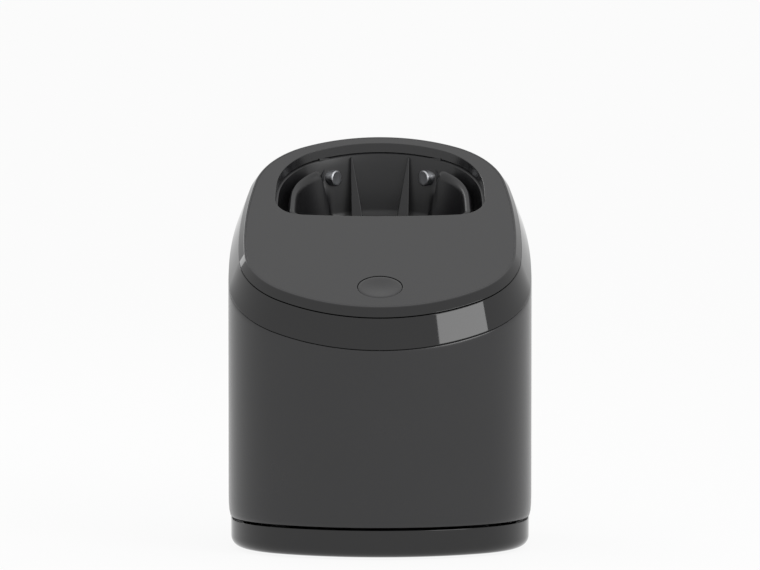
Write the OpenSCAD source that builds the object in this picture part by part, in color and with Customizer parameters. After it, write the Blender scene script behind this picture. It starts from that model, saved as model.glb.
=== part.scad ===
// Shaver cleaning station: a sprung upper housing with a shaver well, over a base that holds the
// fluid cartridge. Millimetres, +Z up, front towards -Y, origin on the ground under the middle.

/* [Body] */
// Width of the body at its widest
body_w = 112; // [109:1:118]
// Depth of the body from front to back
body_d = 121; // [119:1:126]
// Radius of the outline across the front
front_r = 72; // [68:1:80]
// Radius of the outline at the front corners
front_corner_r = 36; // [33:1:40]
// Radius of the outline along the sides
side_r = 178; // [150:2:220]
// Radius of the outline at the back corners
back_corner_r = 39; // [36:1:42]
// Radius of the outline across the back
back_r = 71; // [66:1:85]
// Where the body is widest, in front of its middle
wide_y = -10.6; // [-14:0.2:-8]
// Slope of the deck, in degrees
deck_angle = 26; // [24:0.5:27]
// Wall of the mouldings
wall = 2.2; // [1.8:0.1:2.4]

/* [Shell and bands] */
// Height of the shell's top edge at the front
shell_front_h = 77.1; // [75:0.5:82]
// Height of the collar ring, between shell and seam
collar_h = 9.8; // [9:0.1:11]
// How far the collar ring draws in
collar_in = 3.7; // [3:0.1:4.2]
// Height of the lip of the deck above the shell
lip_h = 12.8; // [12.6:0.1:14.5]
// How far the deck's lip lies inside the shell
lip_in = 6.1; // [5.6:0.1:6.6]
// Thickness of the deck panel, measured upright
deck_t = 2.2; // [1.8:0.1:2.6]
// Seam between two mouldings
seam = 0.25; // [0.15:0.05:0.35]
// Height of the base ring's top
ring_top = 11.1; // [10.5:0.1:11.5]
// Shadow gap between base ring and shell
shadow_gap = 0.9; // [0.6:0.1:1.4]
// How far the base ring is set in
ring_in = 0.8; // [0.6:0.1:1.0]
// Rounding of the base ring's lower edge
ring_round = 4; // [3:0.25:4.25]

/* [Well] */
// Half the width of the well's mouth
mouth_half_w = 38.9; // [38:0.1:39.5]
// Front edge of the mouth
mouth_front = 3.2; // [2.5:0.1:4]
// Back edge of the mouth
mouth_back = 50.6; // [50:0.1:51]
// Depth of the deck's skirt in the mouth, upright
skirt_h = 3.3; // [3:0.1:3.8]
// Half the width of the well's floor
floor_half_w = 24; // [22:0.5:26]
// Height of the well's floor
floor_z = 72; // [71:0.5:74]
// Wall of the cradle
cradle_t = 2; // [1.6:0.1:2.2]
// Width of the channel between the ribs at their tops
channel_w = 22; // [20:0.5:23]
// Width of the same channel lower down
channel_low_w = 13.8; // [12:0.2:15]

/* [Contacts] */
// Distance between the two contact pins' tips
pin_pitch = 32; // [31:0.5:33]
// Height of the pins
pin_z = 131.4; // [130.5:0.1:132]
// Diameter of a pin
pin_d = 5.8; // [5:0.1:6]
// How far a pin stands out of its face
pin_out = 2.9; // [2.4:0.1:3.2]
// Turn of a pin's axis from straight ahead
pin_turn = 49; // [46:1:52]
// Turn of the flat face round a pin
face_turn = 25; // [23:0.5:27]
// How far a pin gives way
pin_travel = 1.2; // [0.8:0.1:1.4]
// Play round a pin, on the radius
pin_play = 0.05; // [0.03:0.01:0.08]

/* [Start button] */
// Width of the start button
start_w = 18.9; // [18:0.1:20]
// Length of the start button along the slope
start_l = 18.4; // [17:0.1:19.5]
// Middle of the button, from the body's front along the ground
start_from_front = 18.6; // [17:0.1:20]
// Gap round the start button
start_gap = 0.35; // [0.25:0.05:0.5]
// Thickness of its cap
start_t = 3; // [2.6:0.1:3.4]
// Travel of the start button
start_travel = 0.8; // [0.5:0.1:1]

/* [Base] */
// Diameter of a rubber foot
foot_d = 12; // [10:0.5:13]
// Thickness of a rubber foot
foot_t = 1.6; // [1.4:0.1:1.8]
// How far the feet stand out below
foot_out = 0.8; // [0.6:0.1:1]
// Distance between the guide posts
post_pitch = 96; // [95.6:0.1:96.4]
// Diameter of a guide post
post_d = 5; // [4.6:0.1:5.4]
// Clearance of a post in its bush, on the radius
post_play = 0.05; // [0.03:0.01:0.1]
// Height of the guide posts' tops
post_top = 96; // [92:0.5:98]
// How far the housing lifts
lift = 26; // [20:1:26]
// Wire of a lift spring
spring_wire = 0.9; // [0.8:0.05:1]
// Outer diameter of a lift spring
spring_d = 7.9; // [7.5:0.1:8]
// Turns of a lift spring
spring_turns = 9; // [7:1:11]

/* [Cartridge] */
// Width of the cartridge
cart_w = 84; // [80:0.5:84.4]
// Front of the cartridge
cart_front = -22; // [-24:0.5:-21]
// Height of the cartridge with its top
cart_h = 46; // [43:0.5:46.4]
// Wall of the cartridge's tub
cart_wall = 2; // [1.6:0.1:2.4]
// Depth of the fluid
fluid_h = 30; // [15:1:34]

/* [Chassis and pump] */
// Underside of the chassis plate
chassis_z = 54; // [53.6:0.2:54.6]
// Thickness of the chassis plate
chassis_t = 3; // [2.6:0.1:3.2]
// Pump axis, from the body's middle towards the front
pump_y = -13.5; // [-14.5:0.5:-13]
// Diameter of the pump housing
pump_d = 28; // [26:0.5:29]
// Height of the pump housing
pump_h = 10.5; // [10:0.1:11]
// Diameter of the pump motor
motor_d = 24; // [22:0.5:25]
// Length of the pump motor
motor_l = 27; // [24:0.5:27.5]
// Diameter of the motor's shaft
shaft_d = 2; // [1.8:0.1:2.2]
// Clearance round the shaft, on the radius
shaft_play = 0.05; // [0.03:0.01:0.1]
// Vanes of the impeller
vanes = 6; // [5:1:8]
// Outer diameter of the delivery hose
hose_d = 6; // [5.4:0.1:6.2]

/* [Release and inlet] */
// Width of the lift button
lift_btn_w = 22; // [20:0.5:24]
// Height of the lift button
lift_btn_h = 12; // [10:0.5:12.5]
// Height of its middle
lift_btn_z = 90; // [88:0.5:91]
// Travel of the lift button
lift_btn_travel = 3; // [2:0.1:3]
// Height of the power inlet's middle
inlet_z = 68.5; // [67.5:0.5:69]
// Width of the power inlet
inlet_w = 19; // [18:0.5:20]
// Height of the power inlet
inlet_h = 11; // [10.6:0.2:11.6]
// Depth of the inlet's socket
socket_depth = 9; // [8:0.5:10]

/* [Hidden] */

small = 0.3;            // clearance between pieces that don't touch
thin = 0.01;
arc_steps = [7, 8, 5, 9, 5];
mouth_steps = [4, 5, 5, 6, 6];
slope = tan(deck_angle);
front_y = -body_d / 2;
back_y = body_d / 2;
deck_normal = [0, -sin(deck_angle), cos(deck_angle)];
shell_bottom = ring_top + shadow_gap;

// Outline of the body, see egg()
body = [body_w / 2, front_y, back_y, front_r, front_corner_r, side_r, back_corner_r, back_r, wide_y];
// Mouth of the well and its floor, in the same form
mouth = [mouth_half_w, mouth_front, mouth_back, 400, 10, 120, 26, 58, 14];
well_floor = [floor_half_w, 10, 36, 60, 10, 60, 12, 40, 22];

// Height of the shell's top edge at y
function rim_z(y) = shell_front_h + (y - front_y) * slope;
// Height of the deck's face at y
function deck_z(y) = rim_z(y) + lip_h;

function turn(c, p) = atan2(p.y - c.y, p.x - c.x);
// Where the circle ra round a meets the circle rb round b: the back point, or the front one
function meet(a, ra, b, rb, at_back) =
    let (d = norm(b - a), u = (b - a) / d, t = (ra * ra - rb * rb + d * d) / (2 * d),
         h = sqrt(max(0, ra * ra - t * t)), n = h * [-u.y, u.x] * (u.x > 0 == at_back ? 1 : -1))
    a + t * u + n;
function arc(c, r, a, b, n) = [for (i = [0 : n - 1]) let (t = a + (b - a) * i / n) c + r * [cos(t), sin(t)]];
// Loop of tangent arcs, symmetric about x = 0 and drawn in by d. e holds half the width, the front
// and back y, the radii at front, front corner, side, back corner and back, and the widest y
function egg(e, d = 0, n = arc_steps) =
    let (cf = [0, e[1] + e[3]], cs = [e[0] - e[5], e[8]], cb = [0, e[2] - e[7]],
         c1 = meet(cf, e[3] - e[4], cs, e[5] - e[4], false),
         c2 = meet(cb, e[7] - e[6], cs, e[5] - e[6], true),
         right = concat(
             arc(cf, e[3] - d, -90, turn(cf, c1), n[0]),
             arc(c1, e[4] - d, turn(cf, c1), turn(cs, c1), n[1]),
             arc(cs, e[5] - d, turn(cs, c1), turn(cs, c2), n[2]),
             arc(c2, e[6] - d, turn(cs, c2), turn(cb, c2), n[3]),
             arc(cb, e[7] - d, turn(cb, c2), 90, n[4]),
             [[0, e[2] - d]]))
    concat(right, [for (i = [len(right) - 2 : -1 : 1]) [-right[i].x, right[i].y]]);

// Loop at inset p[0] and height p[1], which follows the sloping rim where p[2] is 1
function lifted(e, p, n = arc_steps) =
    [for (q = egg(e, p[0], n)) [q.x, q.y, p[1] + p[2] * rim_z(q.y)]];

// Skin over loops of equal length. A ring joins its last loop to its first, and the rest are capped
module skin(loops, ring = false) {
    m = len(loops[0]);
    k = len(loops);
    sides = [for (i = [0 : ring ? k - 1 : k - 2], j = [0 : m - 1])
        let (a = i * m + j, b = i * m + (j + 1) % m, c = (i + 1) % k * m + j, d = (i + 1) % k * m + (j + 1) % m)
        each [[a, c, b], [b, c, d]]];
    caps = ring ? [] : [for (j = [1 : m - 2]) each [[0, j, j + 1], [k * m - m, k * m - m + j + 1, k * m - m + j]]];
    polyhedron([for (l = loops) each l], concat(sides, caps), convexity = 10);
}

// Band round outline e whose section is a list of [inset, height, slope or level]
module band(e, section, n = arc_steps) {
    skin([for (p = section) lifted(e, p, n)], ring = true);
}

// Upright slab of outline e between two heights
module slab(e, d, z0, z1) {
    translate([0, 0, z0]) linear_extrude(z1 - z0) polygon(egg(e, d));
}

// Tube of round section along points, its rings turned evenly between the ends' directions
module sweep(path, r, sides = 8) {
    k = len(path);
    function way(i) = let (t = path[min(i + 1, k - 1)] - path[max(i - 1, 0)]) t / norm(t);
    loops = [for (i = [0 : k - 1])
        let (t = way(i), s = abs(t.z) > 0.9 ? [1, 0, 0] : [0, 0, 1], u = cross(s, t) / norm(cross(s, t)), v = cross(t, u))
        [for (j = [0 : sides - 1]) path[i] + r * (cos(360 * j / sides) * u + sin(360 * j / sides) * v)]];
    skin(loops);
}

// Points of a smooth curve from a to d that leaves towards b and comes in from c, with straight ends
function bend(a, b, c, d, n = 12) =
    let (p = a + 0.8 * (b - a) / norm(b - a), q = d - 0.8 * (d - c) / norm(d - c))
    concat([a], [for (i = [0 : n]) let (t = i / n, s = 1 - t)
        s * s * s * p + 3 * s * s * t * b + 3 * s * t * t * c + t * t * t * q], [d]);

// Coil from z = 0 to z = h with closed ends, eight rings to a turn
module coil(h, r, wire, turns) {
    steps = 8 * turns;
    sweep([for (i = [0 : steps])
        let (a = 360 * i / 8, f = min(max((i - 8) / (steps - 16), 0), 1), e = min(i, 8) / 8 + max(i - steps + 8, 0) / 8)
        [r * cos(a), r * sin(a), wire / 2 + e * wire * 1.1 + f * (h - wire * 3.2)]], wire / 2, 6);
}

function rounded(x0, x1, y0, y1, r, n = 5) = concat(
    arc([x1 - r, y0 + r], r, -90, 0, n), arc([x1 - r, y1 - r], r, 0, 90, n),
    arc([x0 + r, y1 - r], r, 90, 180, n), arc([x0 + r, y0 + r], r, 180, 270, n));

module both() {
    children();
    mirror([1, 0, 0]) children();
}

module on_posts() {
    both() translate([post_pitch / 2, post_y, 0]) children();
}

module ring(r_out, r_in, h) {
    difference() {
        cylinder(r = r_out, h = h, $fn = 36);
        translate([0, 0, -1]) cylinder(r = r_in, h = h + 2, $fn = 36);
    }
}

// ---- Base: pan, ring, feet, posts and cartridge bed ----
ring_wall = wall + 0.2;
ring_inner = ring_in + ring_wall;
ring_floor = foot_out + wall;           // top of the ring's inner flange
flange_in = ring_in + ring_round + 5.2;
pan_t = 1.2;                            // the pan's edge, over the ring's flange
pan_top = ring_floor + pan_t;
post_y = -6;
post_foot_h = shell_bottom - pan_top;   // spring seat level with the shell's lower edge
column_x = 36;
column_y = front_y + 26.5;
column_r = 4;
foot_at = [[24, front_y + 24.5], [30, 29.5]];
screw_r = 1.4;
screw_head_r = 2.8;
screw_head_h = 1.2;
screw_play = 0.1;
rail_t = 1.4;
rail_h = 12;
rail_in = cart_w / 2 + 0.4;

module screw_spots() {
    on_posts() children();
    both() translate([column_x, column_y, 0]) children();
}

module base_ring() {
    steps = 4;
    section = concat(
        [for (i = [steps : -1 : 0]) let (a = 90 * i / steps)
            [ring_in + ring_round * (1 - cos(a)), foot_out + ring_round * (1 - sin(a)), 0]],
        [[ring_in, ring_top - 0.4, 0], [ring_in + 0.4, ring_top, 0], [ring_inner, ring_top, 0],
         [ring_inner, ring_floor + 0.8, 0], [ring_inner + 0.8, ring_floor, 0],
         [flange_in, ring_floor, 0], [flange_in, foot_out, 0]]);
    color("#0e0e10") difference() {
        band(body, section);
        // the cartridge passes over the back of the ring
        translate([-cart_w / 2 - 2, mouth_front, pan_top]) cube([cart_w + 4, body_d, ring_top]);
        on_posts() translate([0, 0, foot_out - 1]) cylinder(r = screw_r + screw_play, h = wall + 2, $fn = 24);
        on_posts() translate([0, 0, foot_out - 1])
            cylinder(r = screw_head_r + screw_play, h = 1 + screw_head_h, $fn = 24);
    }
}

module base_pan() {
    color("#26262a") difference() {
        union() {
            slab(body, flange_in + small, foot_out, ring_floor + thin);
            slab(body, ring_inner + 1.1, ring_floor, pan_top);
            both() translate([column_x, column_y, pan_top - thin])
                cylinder(r = column_r, h = chassis_z - small - pan_top + thin, $fn = 32);
        }
        both() for (p = foot_at) translate([p.x, p.y, -1]) cylinder(r = foot_d / 2 + 0.1, h = foot_t + 1, $fn = 32);
        screw_spots() translate([0, 0, -1]) cylinder(r = screw_r + screw_play, h = 14, $fn = 24);
        screw_spots() translate([0, 0, -1])
            cylinder(r = screw_head_r + screw_play, h = foot_out + screw_head_h + 1, $fn = 24);
    }
}

module rubber_feet() {
    color("#3a3a3c") both() for (p = foot_at) translate([p.x, p.y, 0]) rotate_extrude($fn = 32)
        polygon([[0, 0], [foot_d / 2 - 0.6, 0], [foot_d / 2, 0.6], [foot_d / 2, foot_t], [0, foot_t]]);
}

module screw(l) {
    cylinder(r = screw_head_r, h = screw_head_h - 0.1, $fn = 20);
    translate([0, 0, screw_head_h - 0.2]) cylinder(r = screw_r, h = l, $fn = 16);
}

module base_screws() {
    color("silver") screw_spots() translate([0, 0, foot_out + 0.1]) screw(10);
}

module cartridge_bed() {
    color("#34343a") translate([0, 0, pan_top]) linear_extrude(rail_h) difference() {
        translate([-rail_in - rail_t, cart_front - 3]) square([2 * (rail_in + rail_t), 34.5 - cart_front]);
        translate([-rail_in, cart_front - small - thin]) square([2 * rail_in, body_d]);
    }
}

module guide_post() {
    color("silver") difference() {
        translate([post_pitch / 2, post_y, pan_top]) rotate_extrude($fn = 40)
            polygon([[0, 0], [spring_d / 2, 0], [spring_d / 2, post_foot_h], [post_d / 2, post_foot_h],
                [post_d / 2, groove_z - pan_top], [groove_r, groove_z - pan_top],
                [groove_r, groove_z + groove_h - pan_top], [post_d / 2, groove_z + groove_h - pan_top],
                [post_d / 2, post_top - 1 - pan_top], [post_d / 2 - 1, post_top - pan_top], [0, post_top - pan_top]]);
        translate([post_pitch / 2, post_y, 0]) cylinder(r = screw_r + screw_play, h = 13, $fn = 24);
    }
}

module guide_post_left() {
    mirror([1, 0, 0]) guide_post();
}

module guide_post_right() {
    guide_post();
}

module lift_spring() {
    color("#b8bcc0") translate([post_pitch / 2, post_y, shell_bottom + 0.05])
        coil(chassis_z - shell_bottom - 0.1, (spring_d - spring_wire) / 2, spring_wire, spring_turns);
}

module lift_spring_left() {
    mirror([1, 0, 0]) lift_spring();
}

module lift_spring_right() {
    lift_spring();
}

// ---- Housing: shell, bands, deck and cradle ----
bay_half_w = cart_w / 2 + 2;
bay_y = 20;
inlet_y = back_y - 1.4;

module outer_shell() {
    round_r = 8;
    section = [[0.9, shell_bottom, 0], [0.3, shell_bottom + 0.3, 0], [0, shell_bottom + 0.9, 0],
        [0, -0.3, 1], [0.3, 0, 1], [wall, 0, 1], [wall, shell_bottom, 0]];
    color("#2c2c30") difference() {
        band(body, section);
        // the cartridge's way out at the back
        translate([0, back_y + 10, 0]) rotate([90, 0, 0]) linear_extrude(back_y + 10 - bay_y)
            polygon(rounded(-bay_half_w, bay_half_w, -10, chassis_z, round_r));
        translate([0, back_y + 10, lift_btn_z]) rotate([90, 0, 0]) linear_extrude(25)
            polygon(rounded(-lift_btn_w / 2 - 0.4, lift_btn_w / 2 + 0.4, -lift_btn_h / 2 - 0.4, lift_btn_h / 2 + 0.4, 2.4));
        translate([0, back_y + 10, inlet_z]) rotate([90, 0, 0]) linear_extrude(25)
            polygon(rounded(-inlet_w / 2 - 0.2, inlet_w / 2 + 0.2, -inlet_h / 2 - 0.2, inlet_h / 2 + 0.2, 2.2));
    }
}

lip_t = 1.6;
module collar_ring() {
    section = [[0.25, seam, 1], [0, seam + 0.5, 1], [collar_in - 0.1, collar_h - 0.3, 1], [collar_in + 0.2, collar_h, 1],
        [collar_in + wall, collar_h, 1], [wall + small + lip_t, seam + 1.6, 1], [wall + small + lip_t, -4, 1],
        [wall + small, -4, 1], [wall + small, seam, 1]];
    color("#0a0a0c") band(body, section);
}

ledge_in = lip_in + 0.55;               // where the deck panel's edge lies
ledge_h = lip_h - deck_t;
ledge_w = 0.9;                          // what the panel's edge rests on
module deck_bezel() {
    section = [[collar_in + 0.3, collar_h + seam, 1], [collar_in + 0.1, collar_h + seam + 0.3, 1],
        [lip_in - 0.5, lip_h - 0.35, 1], [lip_in - 0.1, lip_h + 0.1, 1], [lip_in + 0.25, lip_h, 1],
        [ledge_in - 0.1, ledge_h, 1], [ledge_in + ledge_w, ledge_h, 1], [ledge_in + ledge_w, collar_h - 1.4, 1],
        [collar_in + wall + small, collar_h - 1.4, 1], [collar_in + wall + small, collar_h + seam, 1]];
    color("#0a0a0c") band(body, section);
}

// Oval in the deck's own plane, its middle at the start button
module start_oval(grow, h) {
    steps = 48;
    linear_extrude(h) polygon([for (i = [0 : steps - 1]) let (a = 360 * i / steps)
        [(start_w / 2 + grow) * cos(a), (start_l / 2 + grow) * sin(a)]]);
}

start_y = front_y + start_from_front;
module at_start() {
    translate([0, start_y, deck_z(start_y)]) rotate([deck_angle, 0, 0]) children();
}

// Stack under the start button, in the deck's own plane: z = 0 on its face
stem_r = 2.4;
button_collar = 1.6;                    // wall of the button's guide
seat_z = -start_t - 1.2;                // the guide's end, over the membrane
switch_h = 3.4;
button_board_z = -start_t - 7.4;
board_t = 1.6;
board_post_x = 14.4;
switch_top = button_board_z + board_t + switch_h;

skirt_t = 1.4;
module top_deck() {
    panel = [[ledge_in, ledge_h + 0.01, 1], [ledge_in, lip_h - 0.1, 1], [ledge_in + 0.15, lip_h, 1]];
    color("#303034") difference() {
        union() {
            skin([for (p = panel) lifted(body, p)]);
            skin([for (h = [lip_h - skirt_h, ledge_h + 0.5]) lifted(mouth, [-skirt_t, h, 1], mouth_steps)]);
            at_start() {
                translate([0, 0, seat_z]) start_oval(start_gap + button_collar, -seat_z - 0.5);
                both() translate([board_post_x, 0, button_board_z + board_t])
                    cylinder(r = 1.6, h = -button_board_z - board_t - 0.5, $fn = 24);
            }
        }
        skin([for (p = [[0, lip_h - 20, 1], [0, lip_h - 0.4, 1], [-3, lip_h + 2.6, 1]])
            lifted(mouth, p, mouth_steps)]);
        at_start() translate([0, 0, -10]) start_oval(start_gap, 20);
    }
}

// Cradle: loops from the mouth (f = 0) to the floor (f = 1), as [f, height over the middle, tilt]
well_y = 26;
rim_drop = skirt_h + seam + 0.1;
rim_mid = deck_z(well_y) - rim_drop;
well_levels = [[0.06, -5, 1], [0.10, -12, 0.9], [0.20, -22, 0.7], [0.34, -33, 0.45], [0.52, -43, 0.22],
    [0.72, -50, 0.08], [0.88, 0, 0], [1, 0, 0]];
function mix(a, b, f) = [for (i = [0 : len(a) - 1]) a[i] * (1 - f) + b[i] * f];
// Loop inside the well. Its last two levels lie just over the floor and on it
function well_loop(l, d = 0, down = 0) =
    let (e = mix(mouth, well_floor, l[0]),
         z = l[0] == 1 ? floor_z : l[0] == 0.88 ? floor_z + 1.5 : rim_mid + l[1])
    [for (q = egg(e, d, mouth_steps)) [q.x, q.y, z - down + l[2] * slope * (q.y - well_y)]];

module cradle_shell() {
    flange = cradle_t + 0.1;
    outer = [for (i = [len(well_levels) - 1 : -1 : 0]) well_loop(well_levels[i], -cradle_t, i > 5 ? cradle_t : 0)];
    inner = [for (l = well_levels) well_loop(l)];
    rim = [for (p = [[-flange, lip_h - rim_drop - 2, 1], [-flange, lip_h - rim_drop, 1],
        [0.4, lip_h - rim_drop, 1], [1.2, lip_h - rim_drop - 0.6, 1]])
        lifted(mouth, p, mouth_steps)];
    skin(concat(outer, rim, inner));
}

// Flat face round a contact pin, the pin's axis and the teardrop recess, on the right-hand side
face_x = pin_pitch / 2 + pin_out * sin(pin_turn);
face_y = 47.2;
pin_tip = [pin_pitch / 2, face_y - pin_out * cos(pin_turn), pin_z];
boss_l = 4.5;
module at_pin() {
    // z along the pin, outwards into the well, from the middle of its flat face
    translate([face_x, face_y, pin_z]) rotate([0, 0, -pin_turn]) rotate([90, 0, 0]) children();
}
module at_face() {
    translate([face_x, face_y, pin_z]) rotate([0, 0, -face_turn]) rotate([90, 0, 0]) children();
}

face_half_w = 4.9;
face_low = -10.6;
module contact_block() {
    // behind the flat face, down to the undercut, and up under the deck
    at_face() translate([-face_half_w, face_low, -3.2]) cube([2 * face_half_w, 18, 3.2]);
    at_pin() translate([0, 0, -boss_l]) cylinder(r = pin_d / 2 + 1.4, h = boss_l - 0.8, $fn = 36);
}

module contact_hole() {
    tear_r = pin_d / 2 + 0.5;
    at_pin() translate([0, 0, -20]) cylinder(r = pin_d / 2 + pin_play, h = 40, $fn = 48);
    at_face() translate([0.3, 0, -1.6]) linear_extrude(10)
        polygon(concat(arc([0, 0], tear_r, -210, 30, 20), [[tear_r * cos(30), tear_r / 2], [1.1, tear_r * 1.9],
            [0, tear_r * 2.05], [-1.1, tear_r * 1.9]]));
}

rib_low_z = 100;
module channel_rib() {
    // wedge that stands out of the back wall beside the channel
    x_top = channel_w / 2;
    x_low = channel_low_w / 2;
    skin([
        [[x_low, 38, rib_low_z], [x_top + 0.6, 38, rib_low_z], [x_top + 0.6, 48, rib_low_z], [x_low, 48, rib_low_z]],
        [[x_top - 0.8, 46.6, 137], [x_top + 0.6, 46.6, 137], [x_top + 0.6, 50, 137], [x_top - 0.8, 50, 137]]]);
}

drain_y = 23;
drain_r = 5;
leg_r = 3.4;
leg_at = [[21, 14], [21, 31]];
spout_in = [18, 6, 84];               // where the delivery hose meets the cradle
module cradle() {
    color("#232327") difference() {
        union() {
            cradle_shell();
            both() contact_block();
            both() channel_rib();
            both() for (p = leg_at) translate([p.x, p.y, chassis_z + chassis_t])
                cylinder(r = leg_r, h = floor_z - chassis_z - chassis_t - 0.2, $fn = 28);
            translate([spout_in.x, spout_in.y - 6, spout_in.z]) rotate([-90, 0, 0]) cylinder(r = hose_d / 2 - 0.2, h = 8, $fn = 28);
        }
        both() contact_hole();
        translate([0, drain_y, floor_z - 5]) cylinder(r = drain_r, h = 10, $fn = 36);
        translate([spout_in.x, spout_in.y - 7, spout_in.z]) rotate([-90, 0, 0]) cylinder(r = hose_d / 2 - 1.2, h = 12, $fn = 28);
        both() for (p = leg_at) translate([p.x, p.y, chassis_z]) cylinder(r = screw_r + 0.05, h = 11.5, $fn = 20);
    }
}

module drain_grille() {
    r = drain_r + 3;
    color("#6a6c70") difference() {
        translate([0, drain_y, floor_z + 0.05]) cylinder(r = r, h = 1.2, $fn = 36);
        for (x = [-6 : 3 : 6]) translate([x - 0.7, drain_y - 0.8 * r + abs(x) / 2, floor_z - 1]) cube([1.4, 1.6 * r - abs(x), 4]);
    }
}

module drain_spout() {
    color("#3a3a3e") translate([0, drain_y, 0]) difference() {
        union() {
            translate([0, 0, chassis_z]) cylinder(r = drain_r + 1.2, h = floor_z - cradle_t - 0.1 - chassis_z, $fn = 36);
            translate([0, 0, floor_z - cradle_t - 2.6]) cylinder(r = drain_r + 4, h = 2.5, $fn = 36);
        }
        translate([0, 0, chassis_z - 1]) cylinder(r = drain_r - 0.4, h = 30, $fn = 36);
    }
}

seal_h = chassis_z - small - (pan_top + small + cart_h);
module drain_seal() {
    color("#4b4b4f") translate([0, drain_y, chassis_z - seal_h]) ring(drain_r + 4, drain_r - 0.4, seal_h);
}

tab_x = [12.4, 17.6];
tab_from_back = 17.1;                  // stops for the release springs, in front of the back
tab_t = 1.8;
tab_y = [back_y - tab_from_back, back_y - tab_from_back + tab_t];
tab_top = 79.5;
chassis_top = chassis_z + chassis_t;
board_from_front = 11.5;
board_w = 17.5;
board_y = [front_y + board_from_front, front_y + board_from_front + board_w];
module chassis_plate() {
    color("#3d3d42") difference() {
        union() {
            slab(body, wall + small, chassis_z, chassis_top);
            both() translate([tab_x[0], tab_y[0], chassis_top - thin]) cube([tab_x[1] - tab_x[0], tab_y[1] - tab_y[0], tab_top - chassis_top]);
            for (x = [-25, 25], y = [board_y[0] + 3, board_y[1] - 3]) translate([x, y, chassis_top - thin])
                cylinder(r = 2.4, h = 2.5, $fn = 24);
        }
        on_posts() translate([0, 0, chassis_z - 1]) cylinder(r = bush_r + 0.05, h = 9, $fn = 40);
        translate([0, pump_y, chassis_z - 1]) cylinder(r = spigot_r + 0.1, h = 9, $fn = 36);
        translate([0, drain_y, chassis_z - 1]) cylinder(r = drain_r + 1.3, h = 9, $fn = 36);
        both() for (p = leg_at) translate([p.x, p.y, chassis_z - 1]) cylinder(r = screw_r + screw_play, h = 9, $fn = 20);
        both() for (p = leg_at) translate([p.x, p.y, chassis_z - 1]) cylinder(r = screw_head_r + screw_play, h = 1 + screw_head_h, $fn = 24);
    }
}

bush_r = 4;
bush_top = 68;
groove_z = bush_top;
groove_h = 1.5;
groove_r = post_d / 2 - 0.55;
module bush() {
    color("#d9d6cc") translate([post_pitch / 2, post_y, 0]) difference() {
        union() {
            translate([0, 0, chassis_z]) cylinder(r = bush_r, h = bush_top - chassis_z, $fn = 40);
            translate([0, 0, chassis_top + 0.02]) cylinder(r = bush_r + 1, h = 1.2, $fn = 40);
        }
        translate([0, 0, chassis_z - 1]) cylinder(r = post_d / 2 + post_play, h = 30, $fn = 48);
    }
}

module bush_left() {
    mirror([1, 0, 0]) bush();
}

module bush_right() {
    bush();
}

// Wire clips that lie in the posts' grooves and hold the housing down
clip_r = 0.6;
clip_x = groove_r + clip_r + 0.05;
clip_straight = 5;
clip_flare = 9;
clip_wide = 4.3;
module latch_clips() {
    loop = [for (i = [0 : 12]) let (a = 180 + 15 * i) [clip_x * cos(a), clip_x * sin(a) - 1, 0]];
    path = concat([[-clip_wide, clip_flare, 0], [-clip_x - 0.3, clip_straight + 1, 0], [-clip_x, clip_straight, 0]],
        loop, [[clip_x, clip_straight, 0], [clip_x + 0.3, clip_straight + 1, 0], [clip_wide, clip_flare, 0]]);
    color("#b8bcc0") on_posts() translate([0, 0, bush_top + clip_r + 0.05]) sweep(path, clip_r, 8);
}

module housing_screws() {
    color("silver") both() for (p = leg_at) translate([p.x, p.y, chassis_z + 0.1]) screw(9);
}

// ---- Pump ----
spigot_r = 4.4;
pump_top = chassis_top + pump_h;
chamber_r = pump_d / 2 - 2.2;
chamber_z = [chassis_top + 2.4, pump_top - 2.8];
outlet_z = (chamber_z[0] + chamber_z[1]) / 2;
outlet_x = pump_d / 2 + 5;
module pump_housing() {
    color("#e4e2da") difference() {
        union() {
            translate([0, pump_y, chassis_top + 0.02]) cylinder(r = pump_d / 2, h = pump_h - 0.02, $fn = 44);
            translate([0, pump_y, chassis_z]) cylinder(r = spigot_r, h = chassis_t + 1, $fn = 32);
            translate([chamber_r, pump_y, outlet_z]) rotate([0, 90, 0]) cylinder(r = hose_d / 2 - 0.2, h = outlet_x - chamber_r, $fn = 28);
        }
        translate([0, pump_y, chamber_z[0]]) cylinder(r = chamber_r, h = chamber_z[1] - chamber_z[0], $fn = 44);
        translate([0, pump_y, chassis_z - 1]) cylinder(r = 2.5, h = chassis_t + 4, $fn = 28);
        translate([0, pump_y, chassis_top]) cylinder(r = shaft_d / 2 + shaft_play, h = pump_h + 1, $fn = 24);
        translate([chamber_r - 2, pump_y, outlet_z]) rotate([0, 90, 0]) cylinder(r = hose_d / 2 - 1.2, h = 12, $fn = 28);
    }
}

module suction_seal() {
    color("#4b4b4f") translate([0, pump_y, chassis_z - seal_h]) ring(spigot_r + 2, 2.5, seal_h);
}

module pump_motor() {
    flat = 0.84;
    color("#a9adb2") translate([0, pump_y, pump_top + 0.02]) difference() {
        union() {
            intersection() {
                cylinder(r = motor_d / 2, h = motor_l, $fn = 44);
                translate([-motor_d / 2, -motor_d / 2 * flat, -1]) cube([motor_d, motor_d * flat, motor_l + 2]);
            }
            translate([0, 0, motor_l - thin]) cylinder(r = 4, h = 1.6, $fn = 28);
        }
        translate([0, 0, -1]) cylinder(r = shaft_d / 2 + shaft_play, h = motor_l + 4, $fn = 24);
    }
}

module impeller() {
    r = chamber_r - 0.6;
    h = chamber_z[1] - chamber_z[0] - 1;
    color("#cfd2d6") translate([0, pump_y, chamber_z[0] + 0.5]) difference() {
        union() {
            cylinder(r = r, h = 1, $fn = 40);
            cylinder(r = 2.8, h = h, $fn = 28);
            for (i = [0 : vanes - 1]) rotate([0, 0, 360 * i / vanes]) translate([2, -0.6, 0]) cube([r - 2.4, 1.2, h]);
        }
        translate([0, 0, -1]) cylinder(r = shaft_d / 2, h = h + 2, $fn = 24);
    }
}

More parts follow.
